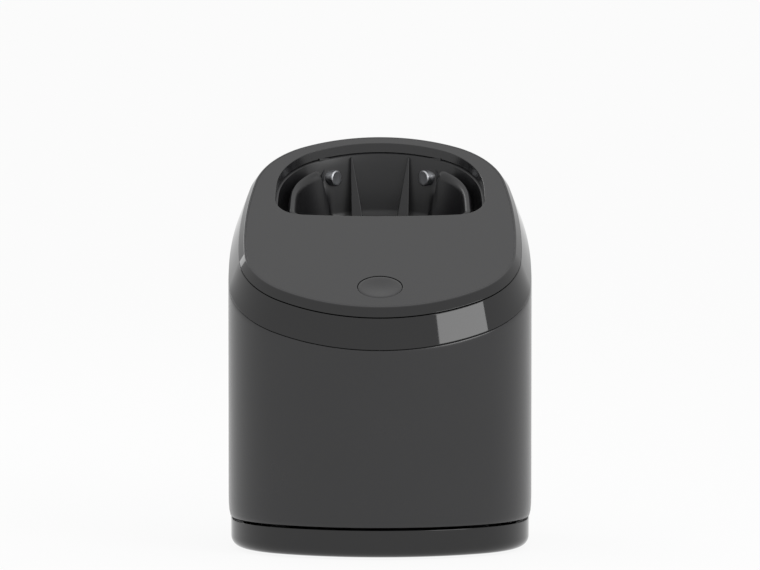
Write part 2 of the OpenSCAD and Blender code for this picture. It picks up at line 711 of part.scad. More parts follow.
module motor_shaft() {
    color("silver") translate([0, pump_y, chamber_z[0] + 0.5])
        cylinder(r = shaft_d / 2, h = pump_top + motor_l + 3 - chamber_z[0], $fn = 24);
}

module delivery_hose() {
    a = [outlet_x, pump_y, outlet_z];
    d = [spout_in.x, spout_in.y - 6, spout_in.z];
    way = bend(a, a + [9, 0, 0], d - [0, 12, 0], d, 12);
    color("#8f9296") sweep(way, hose_d / 2, 10);
}

// ---- Electrics ----
board_z = chassis_top + 2.5;
board_half_w = 30;
module main_board() {
    color("#1d5b3a") difference() {
        translate([-board_half_w, board_y[0], board_z]) cube([2 * board_half_w, board_w, board_t]);
        for (x = [-board_half_w, board_half_w]) translate([x, board_y[0], board_z - 1]) rotate([0, 0, 45]) cube([8, 8, 9], center = true);
        for (x = [-25, 25], y = [board_y[0] + 3, board_y[1] - 3]) translate([x, y, board_z - 1]) cylinder(r = 1, h = 9, $fn = 20);
    }
}

module board_parts() {
    z = board_z + board_t + 0.02;
    color("#2b2b2b") {
        translate([-8, board_y[0] + 4, z]) cube([9, 9, 1.4]);
        translate([6, board_y[0] + 3.5, z]) cube([6, 11, 8]);
        translate([18, board_y[0] + 9, z]) cylinder(r = 3.2, h = 9, $fn = 28);
        translate([-20, board_y[1] - 6.5, z]) cube([9, 5, 6]);
        translate([-18, board_y[0] + 3, z]) cube([6, 3.4, 2.2]);
    }
}

module start_button() {
    color("#0c0c0e") at_start() {
        translate([0, 0, -start_t]) start_oval(0, start_t - 0.2);
        translate([0, 0, -0.2 - thin]) start_oval(-0.25, 0.3);
        // the stem ends where a full press meets the switch
        translate([0, 0, switch_top + start_travel + 0.05])
            cylinder(r = stem_r, h = -start_t - switch_top - start_travel, $fn = 28);
    }
}

module button_membrane() {
    color("#55565a") at_start() difference() {
        translate([0, 0, seat_z - 0.8]) start_oval(start_gap + button_collar, 0.78);
        translate([0, 0, seat_z - 5]) cylinder(r = stem_r + 0.3, h = 9, $fn = 28);
    }
}

module tact_switch() {
    color("#c9c9c9") at_start() {
        translate([-3, -3, button_board_z + board_t + 0.02]) cube([6, 6, switch_h - 1.2]);
        translate([0, 0, button_board_z + board_t]) cylinder(r = 1.7, h = switch_h, $fn = 24);
    }
}

module button_board() {
    color("#1d5b3a") at_start() translate([-board_post_x - 2, -8, button_board_z])
        cube([2 * board_post_x + 4, 16, board_t]);
}

pin_gap = 8.6;
module power_inlet() {
    color("#101012") difference() {
        translate([0, inlet_y, inlet_z]) rotate([90, 0, 0]) linear_extrude(socket_depth + 4)
            polygon(rounded(-inlet_w / 2, inlet_w / 2, -inlet_h / 2, inlet_h / 2, 2));
        translate([0, inlet_y + 1, inlet_z]) rotate([90, 0, 0]) linear_extrude(socket_depth + 1)
            polygon(rounded(-inlet_w / 2 + 1.7, inlet_w / 2 - 1.7, -inlet_h / 2 + 1.2, inlet_h / 2 - 1.2, 1.6));
        both() translate([pin_gap / 2 + 1.2, inlet_y + 1, inlet_z]) rotate([90, 0, 0]) cylinder(r = 1.1, h = 30, $fn = 24);
    }
}

module inlet_pins() {
    color("gold") both() translate([pin_gap / 2 + 1.2, inlet_y - 1.5, inlet_z]) rotate([90, 0, 0])
        cylinder(r = 1.1, h = socket_depth + 4.5, $fn = 24);
}

module inlet_leads() {
    r = 0.8;
    a = [-pin_gap / 2 - 1.2, inlet_y - socket_depth - 6.05, inlet_z];
    plug = [-16, board_y[1] - 4, board_z + board_t + 6.1];
    run_z = chassis_top + 5;             // height at which the lead runs over the chassis
    run_x = -board_half_w;
    way = concat(bend(a, a - [0, 6, 0], [run_x + 4, tab_y[0] - 0.4, run_z + 1], [run_x, tab_y[0] - 17.4, run_z], 7),
        bend([run_x - 1, tab_y[0] - 23.4, run_z], [run_x - 3, 0, run_z], plug + [0, 0, 13], plug, 8));
    color("#8c2f2a") sweep(way, r, 6);
}

leaf_t = 0.4;
leaf_down = 9;
module contact_springs() {
    // leaf behind each pin, standing on the board's contact strip
    color("#d8b968") both() at_pin() translate([-1.6, -leaf_down, -boss_l - small - leaf_t]) cube([3.2, leaf_down + 2, leaf_t]);
}

module contact_leads() {
    r = 0.7;
    pad_y = board_y[1] - 5;
    a = [-face_x - (boss_l + small + leaf_t / 2) * sin(pin_turn), face_y + (boss_l + small + leaf_t / 2) * cos(pin_turn),
        pin_z - leaf_down - 0.05];
    way = concat(bend(a, a - [0, 0, 10], [-36, 42, 96], [-38, 30, 78], 7),
        bend([-39, 22, 70], [-40, 8, 64], [-42, pad_y, board_z + 0.8], [-board_half_w - 0.05, pad_y, board_z + 0.8], 7));
    color("#b9b9b9") both() sweep(way, r, 6);
}

module contact_pin() {
    r = pin_d / 2;
    color("#b9bcc2") at_pin() translate([0, 0, -boss_l]) rotate_extrude($fn = 40)
        polygon([[0, 0], [r, 0], [r, boss_l + pin_out - 0.5], [r - 0.5, boss_l + pin_out], [0, boss_l + pin_out]]);
}

module contact_pin_left() {
    mirror([1, 0, 0]) contact_pin();
}

module contact_pin_right() {
    contact_pin();
}

// ---- Release: lift button, slide and springs ----
slide_t = 2;
slide_z = chassis_top + 1.6;
slide_in = 4.6;
slide_w = 5;
bar_from_back = 8.9;                    // the slide's bar, which the lift button pushes
bar_t = 2.4;
bar_y = [back_y - bar_from_back, back_y - bar_from_back + bar_t];
lug_y = post_y + 10.5;
module release_slide() {
    color("#46464c") union() {
        difference() {
            slab(body, slide_in, slide_z, slide_z + slide_t);
            slab(body, slide_in + slide_w, slide_z - 1, slide_z + slide_t + 1);
            translate([-body_w, -body_d, slide_z - 1]) cube([2 * body_w, body_d + lug_y, 9]);
        }
        both() translate([tab_x[0] + 0.4, bar_y[0], slide_z]) cube([4.2, bar_y[1] - bar_y[0], lift_btn_z + 4 - slide_z]);
        translate([-tab_x[1] + 0.6, bar_y[0], lift_btn_z - 4]) cube([2 * tab_x[1] - 1.2, bar_y[1] - bar_y[0], 8]);
        on_posts() {
            translate([-2, lug_y - post_y, slide_z]) cube([4, 3, bush_top + 1.4 - slide_z]);
            translate([0, 0, bush_top + 0.3]) linear_extrude(1.1)
                polygon([[-0.9, 6.2], [0.9, 6.2], [3, 10], [3, 13.5], [-3, 13.5], [-3, 10]]);
        }
    }
}

module lift_button() {
    face_y = back_y - 1.3;
    color("#1b1b1e") translate([0, face_y, lift_btn_z]) rotate([90, 0, 0]) difference() {
        linear_extrude(face_y - bar_y[1] - 0.02)
            polygon(rounded(-lift_btn_w / 2, lift_btn_w / 2, -lift_btn_h / 2, lift_btn_h / 2, 2));
        // grip grooves
        for (y = [-3 : 2 : 3]) translate([-lift_btn_w / 2 + 4, y - 0.4, -1]) cube([lift_btn_w - 8, 0.8, 1.5]);
    }
}

module release_springs() {
    l = bar_y[0] - tab_y[1];
    color("#b8bcc0") both() translate([(tab_x[0] + tab_x[1]) / 2, tab_y[1] + 0.05, 74]) rotate([-90, 0, 0])
        coil(l - 0.1, 1.9, 0.5, 5);
}

// ---- Cartridge ----
cart_z = pan_top + small;
cart_top_t = 2.4;
module cartridge_slab(d, z0, z1) {
    intersection() {
        slab(body, 3 + d, z0, z1);
        translate([0, 0, z0 - 1]) linear_extrude(z1 - z0 + 2)
            polygon(rounded(-cart_w / 2 + d, cart_w / 2 - d, cart_front + d, body_d, 6 - d / 2));
    }
}

module cartridge_tub() {
    color("#7d8ea8") difference() {
        cartridge_slab(0, cart_z, cart_z + cart_h - cart_top_t);
        cartridge_slab(cart_wall, cart_z + cart_wall, cart_z + cart_h);
    }
}

port_r = 3.2;
module cartridge_top() {
    color("#5f7088") difference() {
        union() {
            cartridge_slab(0, cart_z + cart_h - cart_top_t, cart_z + cart_h);
            difference() {
                cartridge_slab(cart_wall + 0.15, cart_z + cart_h - cart_top_t - 3, cart_z + cart_h - cart_top_t + thin);
                cartridge_slab(cart_wall + 1.6, cart_z + cart_h - cart_top_t - 4, cart_z + cart_h - cart_top_t + thin);
            }
        }
        translate([0, pump_y, cart_z + cart_h - 9]) cylinder(r = port_r + 0.1, h = 12, $fn = 32);
        translate([0, drain_y, cart_z + cart_h - 9]) cylinder(r = drain_r - 0.4, h = 12, $fn = 32);
    }
}

module pickup_tube() {
    z = cart_z + cart_wall + 1;
    color("#d8dde2") translate([0, pump_y, 0]) difference() {
        union() {
            translate([0, 0, z]) cylinder(r = port_r, h = cart_z + cart_h - z, $fn = 28);
            translate([0, 0, z]) cylinder(r = 5.6, h = 5, $fn = 32);
        }
        translate([0, 0, z + 1.5]) cylinder(r = port_r - 1, h = cart_h, $fn = 28);
        for (a = [0, 60, 120]) rotate([0, 0, a]) translate([-9, -0.7, z + 1.6]) cube([18, 1.4, 2.6]);
    }
}

module cleaning_fluid() {
    color("#5aa0d8") difference() {
        cartridge_slab(cart_wall + small, cart_z + cart_wall + 0.05, cart_z + cart_wall + fluid_h);
        translate([0, pump_y, cart_z]) cylinder(r = 5.6 + small, h = cart_h, $fn = 32);
    }
}

base_pan();
base_ring();
rubber_feet();
base_screws();
cartridge_bed();
guide_post_left();
guide_post_right();
lift_spring_left();
lift_spring_right();
outer_shell();
collar_ring();
deck_bezel();
top_deck();
cradle();
drain_grille();
drain_spout();
drain_seal();
chassis_plate();
bush_left();
bush_right();
latch_clips();
housing_screws();
pump_housing();
suction_seal();
pump_motor();
delivery_hose();
main_board();
board_parts();
button_board();
tact_switch();
button_membrane();
power_inlet();
inlet_pins();
inlet_leads();
contact_springs();
contact_leads();
start_button();
contact_pin_left();
contact_pin_right();
impeller();
motor_shaft();
lift_button();
release_slide();
release_springs();
cartridge_tub();
cartridge_top();
cleaning_fluid();
pickup_tube();
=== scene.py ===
import bmesh
import bpy
import math
from mathutils import Matrix, Vector
from mathutils.kdtree import KDTree


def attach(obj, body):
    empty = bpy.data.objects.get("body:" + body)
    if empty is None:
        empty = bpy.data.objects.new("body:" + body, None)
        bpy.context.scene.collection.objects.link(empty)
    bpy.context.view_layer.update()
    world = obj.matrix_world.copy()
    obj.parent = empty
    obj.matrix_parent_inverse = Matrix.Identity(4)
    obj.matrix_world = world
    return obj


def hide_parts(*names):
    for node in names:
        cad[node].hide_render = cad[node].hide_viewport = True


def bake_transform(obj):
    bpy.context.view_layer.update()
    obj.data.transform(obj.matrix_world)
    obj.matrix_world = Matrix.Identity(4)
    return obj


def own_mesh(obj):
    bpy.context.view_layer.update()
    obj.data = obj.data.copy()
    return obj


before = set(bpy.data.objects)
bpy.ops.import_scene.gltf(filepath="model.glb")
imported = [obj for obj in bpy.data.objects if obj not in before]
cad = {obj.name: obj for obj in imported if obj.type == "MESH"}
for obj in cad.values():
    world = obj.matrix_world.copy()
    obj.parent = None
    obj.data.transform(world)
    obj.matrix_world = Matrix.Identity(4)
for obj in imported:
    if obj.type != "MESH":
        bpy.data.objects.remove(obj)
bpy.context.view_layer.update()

mm = 0.001
print("frame loaded:", len(cad), "nodes")

# ---- Camera, at the photograph's angle
view = {"lens": 500, "elevation": 5.5, "aimHeight": 95.6, "frameWidth": 281.5}


def makeCamera(v):
    data = bpy.data.cameras.new("camera")
    data.lens, data.sensor_width = v["lens"], 36
    data.clip_start, data.clip_end = 0.1, 30
    eye = bpy.data.objects.new("camera", data)
    bpy.context.scene.collection.objects.link(eye)
    away = v["frameWidth"] * mm * v["lens"] / 36
    tilt = math.radians(v["elevation"])
    eye.location = (0, -away * math.cos(tilt), v["aimHeight"] * mm + away * math.sin(tilt))
    eye.rotation_euler = (math.pi / 2 - tilt, 0, 0)
    bpy.context.scene.camera = eye


makeCamera(view)
bpy.context.scene.view_settings.view_transform = "Standard"


# ---- Nodes
def put(tree, kind, **given):
    node = tree.nodes.new(kind)
    for name, value in given.items():
        setattr(node, name, value)
    return node


def math2(tree, how, a, b=0.5, c=None):
    node = put(tree, "ShaderNodeMath", operation=how)
    for socket, value in zip(node.inputs, (a, b, c)):
        if value is None:
            continue
        if isinstance(value, (int, float)):
            socket.default_value = value
        else:
            tree.links.new(value, socket)
    return node.outputs[0]


# ---- Studio: an even white room and two soft boxes
studio = {"background": 1.0, "fill": 0.7}


def makeWorld(s):
    world = bpy.data.worlds.new("studio")
    bpy.context.scene.world = world
    world.use_nodes = True
    tree = world.node_tree
    tree.nodes.clear()
    path = put(tree, "ShaderNodeLightPath")
    soft, white = put(tree, "ShaderNodeBackground"), put(tree, "ShaderNodeBackground")
    for shade, strength in ((soft, s["fill"]), (white, s["background"])):
        shade.inputs["Color"].default_value = (1, 1, 1, 1)
        shade.inputs["Strength"].default_value = strength
    clear = math2(tree, "MAXIMUM", path.outputs["Is Glossy Ray"], path.outputs["Is Transmission Ray"])
    seen = math2(tree, "MAXIMUM", path.outputs["Is Camera Ray"], clear)
    mixed = put(tree, "ShaderNodeMixShader")
    tree.links.new(seen, mixed.inputs[0])
    tree.links.new(soft.outputs[0], mixed.inputs[1])
    tree.links.new(white.outputs[0], mixed.inputs[2])
    tree.links.new(mixed.outputs[0], put(tree, "ShaderNodeOutputWorld").inputs[0])


lamps = {
    "softBoxRight": {"at": (420, -420, 420), "aim": (0, 0, 80), "size": 300, "power": 1.2},
    "softBoxBack": {"at": (-380, 460, 460), "aim": (0, 0, 90), "size": 300, "power": 0.6},
}


def makeLamp(name, lamp):
    data = bpy.data.lights.new(name, "AREA")
    data.shape, data.size, data.energy = "SQUARE", lamp["size"] * mm, lamp["power"]
    thing = bpy.data.objects.new(name, data)
    bpy.context.scene.collection.objects.link(thing)
    place, aim = Vector(lamp["at"]) * mm, Vector(lamp["aim"]) * mm
    thing.location = place
    thing.rotation_euler = (aim - place).to_track_quat("-Z", "Y").to_euler()
    thing.visible_camera = False


def makeFloor():
    bpy.ops.mesh.primitive_circle_add(vertices=96, radius=6, fill_type="NGON")
    floor = bpy.context.object
    floor.name = "studio_floor"
    paint = bpy.data.materials.new("floorPaint")
    paint.use_nodes = True
    tree = paint.node_tree
    tree.nodes.clear()
    matt, glow = put(tree, "ShaderNodeBsdfDiffuse"), put(tree, "ShaderNodeEmission")
    matt.inputs["Color"].default_value = (0.93, 0.93, 0.93, 1)
    glow.inputs["Strength"].default_value = 1
    path = put(tree, "ShaderNodeLightPath")
    mixed = put(tree, "ShaderNodeMixShader")
    share = math2(tree, "MULTIPLY", path.outputs["Is Camera Ray"], 0.9)
    tree.links.new(share, mixed.inputs[0])
    tree.links.new(matt.outputs[0], mixed.inputs[1])
    tree.links.new(glow.outputs[0], mixed.inputs[2])
    tree.links.new(mixed.outputs[0], put(tree, "ShaderNodeOutputMaterial").inputs[0])
    floor.data.materials.append(paint)
    floor.visible_glossy = False


bpy.ops.object.select_all(action="DESELECT")
makeWorld(studio)
for lampName, lamp in lamps.items():
    makeLamp(lampName, lamp)
makeFloor()
print("studio ready")


# ---- Finishes
def makeGrainGroup():
    # fine moulded grain: a height, and a slow patchiness for the roughness
    group = bpy.data.node_groups.new("mouldedGrain", "ShaderNodeTree")
    for name, value in (("Size", 0.4), ("Patches", 30.0)):
        socket = group.interface.new_socket(name, in_out="INPUT", socket_type="NodeSocketFloat")
        socket.default_value = value
    group.interface.new_socket("Height", in_out="OUTPUT", socket_type="NodeSocketFloat")
    group.interface.new_socket("Patch", in_out="OUTPUT", socket_type="NodeSocketFloat")
    start, end = put(group, "NodeGroupInput"), put(group, "NodeGroupOutput")
    place = put(group, "ShaderNodeTexCoord").outputs["Object"]
    fine = put(group, "ShaderNodeTexNoise")
    fine.inputs["Detail"].default_value = 2
    group.links.new(place, fine.inputs["Vector"])
    group.links.new(math2(group, "DIVIDE", 1000, start.outputs["Size"]), fine.inputs["Scale"])
    patch = put(group, "ShaderNodeTexNoise")
    patch.inputs["Detail"].default_value = 3
    group.links.new(place, patch.inputs["Vector"])
    group.links.new(math2(group, "DIVIDE", 1000, start.outputs["Patches"]), patch.inputs["Scale"])
    group.links.new(fine.outputs["Fac"], end.inputs["Height"])
    group.links.new(patch.outputs["Fac"], end.inputs["Patch"])
    return group


def makeWearGroup():
    # edges that hands and cloths have polished, broken up by noise
    group = bpy.data.node_groups.new("edgeWear", "ShaderNodeTree")
    for name, value in (("Width", 0.6), ("Breakup", 4.0)):
        socket = group.interface.new_socket(name, in_out="INPUT", socket_type="NodeSocketFloat")
        socket.default_value = value
    group.interface.new_socket("Edge", in_out="OUTPUT", socket_type="NodeSocketFloat")
    start, end = put(group, "NodeGroupInput"), put(group, "NodeGroupOutput")
    bevel = put(group, "ShaderNodeBevel", samples=4)
    group.links.new(math2(group, "MULTIPLY", start.outputs["Width"], mm), bevel.inputs["Radius"])
    shape = put(group, "ShaderNodeNewGeometry")
    dot = put(group, "ShaderNodeVectorMath", operation="DOT_PRODUCT")
    group.links.new(bevel.outputs[0], dot.inputs[0])
    group.links.new(shape.outputs["Normal"], dot.inputs[1])
    turned = math2(group, "SUBTRACT", 1, dot.outputs["Value"])
    edge = math2(group, "SMOOTH_MIN", math2(group, "MULTIPLY", turned, 3), 1, 0.2)
    noise = put(group, "ShaderNodeTexNoise")
    group.links.new(put(group, "ShaderNodeTexCoord").outputs["Object"], noise.inputs["Vector"])
    group.links.new(math2(group, "DIVIDE", 1000, start.outputs["Breakup"]), noise.inputs["Scale"])
    broken = math2(group, "MULTIPLY", edge, noise.outputs["Fac"])
    group.links.new(broken, end.inputs["Edge"])
    return group


grainGroup, wearGroup = makeGrainGroup(), makeWearGroup()

finishes = {
    "satinShell": {"colour": (0.014, 0.014, 0.015), "rough": 0.26, "spread": 0.03, "grain": 0.45, "bump": 0.30,
                   "ior": 1.52, "worn": 0.008},
    "satinDeck": {"colour": (0.014, 0.014, 0.015), "rough": 0.20, "spread": 0.02, "grain": 0.35, "bump": 0.06,
                  "ior": 1.5, "worn": 0.008},
    "glossBlack": {"colour": (0.005, 0.005, 0.0055), "rough": 0.045, "spread": 0.02, "grain": 1.6, "bump": 0.0,
                   "ior": 1.5, "worn": 0.0},
    "cradlePlastic": {"colour": (0.010, 0.010, 0.011), "rough": 0.34, "spread": 0.05, "grain": 0.4, "bump": 0.10,
                      "ior": 1.48, "worn": 0.0},
    "darkPlastic": {"colour": (0.022, 0.022, 0.024), "rough": 0.48, "spread": 0.08, "grain": 0.5, "bump": 0.3,
                    "ior": 1.48, "worn": 0.008},
    "rubber": {"colour": (0.035, 0.035, 0.036), "rough": 0.78, "spread": 0.08, "grain": 0.3, "bump": 0.4,
               "ior": 1.45, "worn": 0.008},
    "lightPlastic": {"colour": (0.66, 0.64, 0.58), "rough": 0.42, "spread": 0.08, "grain": 0.5, "bump": 0.15,
                     "ior": 1.48, "worn": 0.0},
    "boardGreen": {"colour": (0.012, 0.11, 0.045), "rough": 0.32, "spread": 0.08, "grain": 0.8, "bump": 0.2,
                   "ior": 1.5, "worn": 0.0},
    "leadCover": {"colour": (0.28, 0.035, 0.03), "rough": 0.45, "spread": 0.08, "grain": 0.4, "bump": 0.1,
                  "ior": 1.48, "worn": 0.0},
    "cartridgeBlue": {"colour": (0.10, 0.17, 0.30), "rough": 0.34, "spread": 0.08, "grain": 0.6, "bump": 0.15,
                      "ior": 1.49, "worn": 0.008},
    "cartridgeLid": {"colour": (0.055, 0.09, 0.15), "rough": 0.4, "spread": 0.08, "grain": 0.6, "bump": 0.15,
                     "ior": 1.49, "worn": 0.008},
    "steel": {"colour": (0.56, 0.57, 0.58), "rough": 0.24, "spread": 0.10, "grain": 0.25, "bump": 0.06,
              "metal": 1, "worn": 0.0},
    "contactMetal": {"colour": (0.52, 0.53, 0.55), "rough": 0.34, "spread": 0.12, "grain": 0.2, "bump": 0.12,
                     "metal": 1, "worn": 0.0},
    "brass": {"colour": (0.72, 0.52, 0.22), "rough": 0.26, "spread": 0.1, "grain": 0.25, "bump": 0.05,
              "metal": 1, "worn": 0.0},
}


def makeFinish(name, f):
    paint = bpy.data.materials.new(name)
    paint.use_nodes = True
    tree = paint.node_tree
    skin = tree.nodes["Principled BSDF"]
    skin.inputs["Metallic"].default_value = f.get("metal", 0)
    if "ior" in f:
        skin.inputs["IOR"].default_value = f["ior"]
    grain = put(tree, "ShaderNodeGroup", node_tree=grainGroup)
    grain.inputs["Size"].default_value = f["grain"]
    rough = math2(tree, "MULTIPLY_ADD", grain.outputs["Patch"], f["spread"] * 2, f["rough"] - f["spread"])
    tint = put(tree, "ShaderNodeMix", data_type="RGBA")
    tint.inputs["A"].default_value = (*[c * 0.9 for c in f["colour"]], 1)
    tint.inputs["B"].default_value = (*[min(c * 1.1, 1) for c in f["colour"]], 1)
    tree.links.new(grain.outputs["Patch"], tint.inputs["Factor"])
    colour = tint.outputs["Result"]
    if f["worn"]:
        wear = put(tree, "ShaderNodeGroup", node_tree=wearGroup)
        lift = put(tree, "ShaderNodeMix", data_type="RGBA")
        lift.inputs["B"].default_value = (*[min(c + f["worn"] * 2, 1) for c in f["colour"]], 1)
        tree.links.new(wear.outputs["Edge"], lift.inputs["Factor"])
        tree.links.new(colour, lift.inputs["A"])
        colour = lift.outputs["Result"]
    tree.links.new(colour, skin.inputs["Base Color"])
    tree.links.new(rough, skin.inputs["Roughness"])
    if f["bump"]:
        bump = put(tree, "ShaderNodeBump")
        bump.inputs["Strength"].default_value = f["bump"]
        bump.inputs["Distance"].default_value = 0.02 * mm
        tree.links.new(grain.outputs["Height"], bump.inputs["Height"])
        tree.links.new(bump.outputs[0], skin.inputs["Normal"])
    return paint


paints = {name: makeFinish(name, f) for name, f in finishes.items()}


def makeFluid():
    paint = bpy.data.materials.new("cleaningFluid")
    paint.use_nodes = True
    skin = paint.node_tree.nodes["Principled BSDF"]
    skin.inputs["Base Color"].default_value = (0.35, 0.62, 0.85, 1)
    skin.inputs["Roughness"].default_value = 0.05
    skin.inputs["Transmission Weight"].default_value = 0.85
    skin.inputs["IOR"].default_value = 1.34
    return paint


paints["fluid"] = makeFluid()
print("finishes ready:", len(paints))

# ---- Outlines: rings of tangent arcs, the same curves as the frame's mouldings, in millimetres
outlines = {
    "body": {"half": 56, "front": -60.5, "back": 60.5, "widest": -10.6,
             "frontR": 72, "frontCornerR": 36, "sideR": 178, "backCornerR": 39, "backR": 71},
    "mouth": {"half": 38.9, "front": 3.2, "back": 50.6, "widest": 14,
              "frontR": 400, "frontCornerR": 10, "sideR": 120, "backCornerR": 26, "backR": 58},
    "wellFloor": {"half": 24, "front": 10, "back": 36, "widest": 22,
                  "frontR": 60, "frontCornerR": 10, "sideR": 60, "backCornerR": 12, "backR": 40},
}
bodySteps = (18, 22, 14, 24, 14)
mouthSteps = (16, 16, 14, 16, 20)
slope = math.tan(math.radians(26))
rimFront = 77.1


def circlesMeet(a, ra, b, rb, atBack):
    apart = b - a
    d = apart.length
    u = apart / d
    along = (ra * ra - rb * rb + d * d) / (2 * d)
    out = math.sqrt(max(0, ra * ra - along * along))
    side = 1 if (u.x > 0) == atBack else -1
    return a + u * along + Vector((-u.y, u.x)) * out * side


def bearing(centre, place):
    return math.atan2(place.y - centre.y, place.x - centre.x)


def outline(o, inset=0, steps=bodySteps):
    front = Vector((0, o["front"] + o["frontR"]))
    side = Vector((o["half"] - o["sideR"], o["widest"]))
    back = Vector((0, o["back"] - o["backR"]))
    frontCorner = circlesMeet(front, o["frontR"] - o["frontCornerR"], side, o["sideR"] - o["frontCornerR"], False)
    backCorner = circlesMeet(back, o["backR"] - o["backCornerR"], side, o["sideR"] - o["backCornerR"], True)
    arcs = [(front, o["frontR"], -math.pi / 2, bearing(front, frontCorner)),
            (frontCorner, o["frontCornerR"], bearing(front, frontCorner), bearing(side, frontCorner)),
            (side, o["sideR"], bearing(side, frontCorner), bearing(side, backCorner)),
            (backCorner, o["backCornerR"], bearing(side, backCorner), bearing(back, backCorner)),
            (back, o["backR"], bearing(back, backCorner), math.pi / 2)]
    right = []
    for (centre, r, a, b), n in zip(arcs, steps):
        for i in range(n):
            t = a + (b - a) * i / n
            right.append((centre.x + (r - inset) * math.cos(t), centre.y + (r - inset) * math.sin(t)))
    right.append((0, o["back"] - inset))
    return right + [(-x, y) for x, y in reversed(right[1:-1])]


def rim(y):
    return rimFront + (y - outlines["body"]["front"]) * slope


def deckHeight(y):
    return rim(y) + 12.8


def level(name, inset, height, follow, steps=bodySteps):
    return [(x, y, height + follow * rim(y)) for x, y in outline(outlines[name], inset, steps)]


def eased(section, pieces=4):
    # corners given a fourth number are rounded by that much
    out = []
    count = len(section)
    for i, point in enumerate(section):
        corner = Vector(point[:3])
        if len(point) < 4:
            out.append(corner)
            continue
        before, after = Vector(section[i - 1][:3]) - corner, Vector(section[(i + 1) % count][:3]) - corner
        lengths = [math.hypot(v.x, max(abs(v.y), 8 if v.z else 0)) for v in (before, after)]
        a = corner + before * min(point[3] / lengths[0], 0.45)
        b = corner + after * min(point[3] / lengths[1], 0.45)
        for k in range(pieces + 1):
            t = k / pieces
            out.append(a * (1 - t) ** 2 + corner * 2 * t * (1 - t) + b * t * t)
    return out


# ---- Modelling by hand
def clearAll():
    if bpy.context.mode != "OBJECT":
        bpy.ops.object.mode_set(mode="OBJECT")
    bpy.ops.object.select_all(action="DESELECT")


def only(piece):
    clearAll()
    piece.select_set(True)
    bpy.context.view_layer.objects.active = piece


def lofted(name, loops, ring=True):
    # a circle is laid on the first loop, then its edge is drawn out from loop to loop
    clearAll()
    bpy.ops.mesh.primitive_circle_add(vertices=len(loops[0]), radius=50 * mm)
    piece = bpy.context.object
    piece.name = piece.data.name = name
    bpy.ops.object.mode_set(mode="EDIT")
    bpy.ops.mesh.select_all(action="SELECT")
    shape = bmesh.from_edit_mesh(piece.data)
    for vert, spot in zip(shape.verts, loops[0]):
        vert.co = Vector(spot) * mm
    bmesh.update_edit_mesh(piece.data)
    if not ring:
        bpy.ops.mesh.edge_face_add()
        bpy.ops.mesh.select_all(action="DESELECT")
        shape = bmesh.from_edit_mesh(piece.data)
        for face in shape.faces:
            face.select_set(False)
        for edge in shape.edges:
            edge.select_set(True)
        bmesh.update_edit_mesh(piece.data)
    before = loops[0]
    for loop in loops[1:] + ([loops[0]] if ring else []):
        if ring:
            bpy.ops.mesh.extrude_region_move()
        else:
            bpy.ops.mesh.extrude_edges_move()
        tree = KDTree(len(before))
        for i, spot in enumerate(before):
            tree.insert(Vector(spot) * mm, i)
        tree.balance()
        shape = bmesh.from_edit_mesh(piece.data)
        for vert in shape.verts:
            if vert.select:
                vert.co = Vector(loop[tree.find(vert.co)[1]]) * mm
        bmesh.update_edit_mesh(piece.data)
        before = loop
    if not ring:
        bpy.ops.mesh.edge_face_add()
    bpy.ops.mesh.select_all(action="SELECT")
    bpy.ops.mesh.remove_doubles(threshold=1e-7)
    bpy.ops.mesh.normals_make_consistent(inside=False)
    bpy.ops.object.mode_set(mode="OBJECT")
    return piece


def block(name, low, high):
    clearAll()
    centre = [(a + b) / 2 * mm for a, b in zip(low, high)]
    size = [(b - a) * mm for a, b in zip(low, high)]
    bpy.ops.mesh.primitive_cube_add(size=1, location=centre, scale=size)
    piece = bpy.context.object
    piece.name = piece.data.name = name
    bpy.ops.object.transform_apply(location=True, rotation=True, scale=True)
    return piece


def rod(name, radius, low, high, vertices=48):
    clearAll()
    bpy.ops.mesh.primitive_cylinder_add(vertices=vertices, radius=radius * mm, depth=(high - low) * mm,
                                        location=(0, 0, (high + low) / 2 * mm))
    piece = bpy.context.object
    piece.name = piece.data.name = name
    bpy.ops.object.transform_apply(location=True, rotation=True, scale=True)
    return piece


def pickEdges(piece, wanted):
    only(piece)
    bpy.ops.object.mode_set(mode="EDIT")
    bpy.ops.mesh.select_mode(type="EDGE")
    bpy.ops.mesh.select_all(action="DESELECT")
    shape = bmesh.from_edit_mesh(piece.data)
    for edge in shape.edges:
        if wanted(edge.verts[0].co / mm, edge.verts[1].co / mm, edge):
            edge.select_set(True)
    bmesh.update_edit_mesh(piece.data)


def roundEdges(piece, wanted, width, segments):
    pickEdges(piece, wanted)
    bpy.ops.mesh.bevel(offset=width * mm, segments=segments, profile=0.5, affect="EDGES", clamp_overlap=True)
    bpy.ops.mesh.select_mode(type="VERT")
    bpy.ops.object.mode_set(mode="OBJECT")


def finishModifier(piece, kind, **given):
    only(piece)
    modifier = piece.modifiers.new(kind.lower(), kind)
    for name, value in given.items():
        setattr(modifier, name, value)
    bpy.ops.object.modifier_apply(modifier=modifier.name)


def combine(piece, other, how):
    finishModifier(piece, "BOOLEAN", operation=how, object=other, solver="EXACT")
    bpy.data.objects.remove(other)


def cutAway(piece, *cutters):
    for cutter in cutters:
        combine(piece, cutter, "DIFFERENCE")


def softenEdges(piece, width, segments=2, angle=40):
    finishModifier(piece, "BEVEL", width=width * mm, segments=segments, limit_method="ANGLE",
                   angle_limit=math.radians(angle), harden_normals=False)


def placed(piece, matrix):
    piece.data.transform(matrix)
    piece.data.update()
    return piece


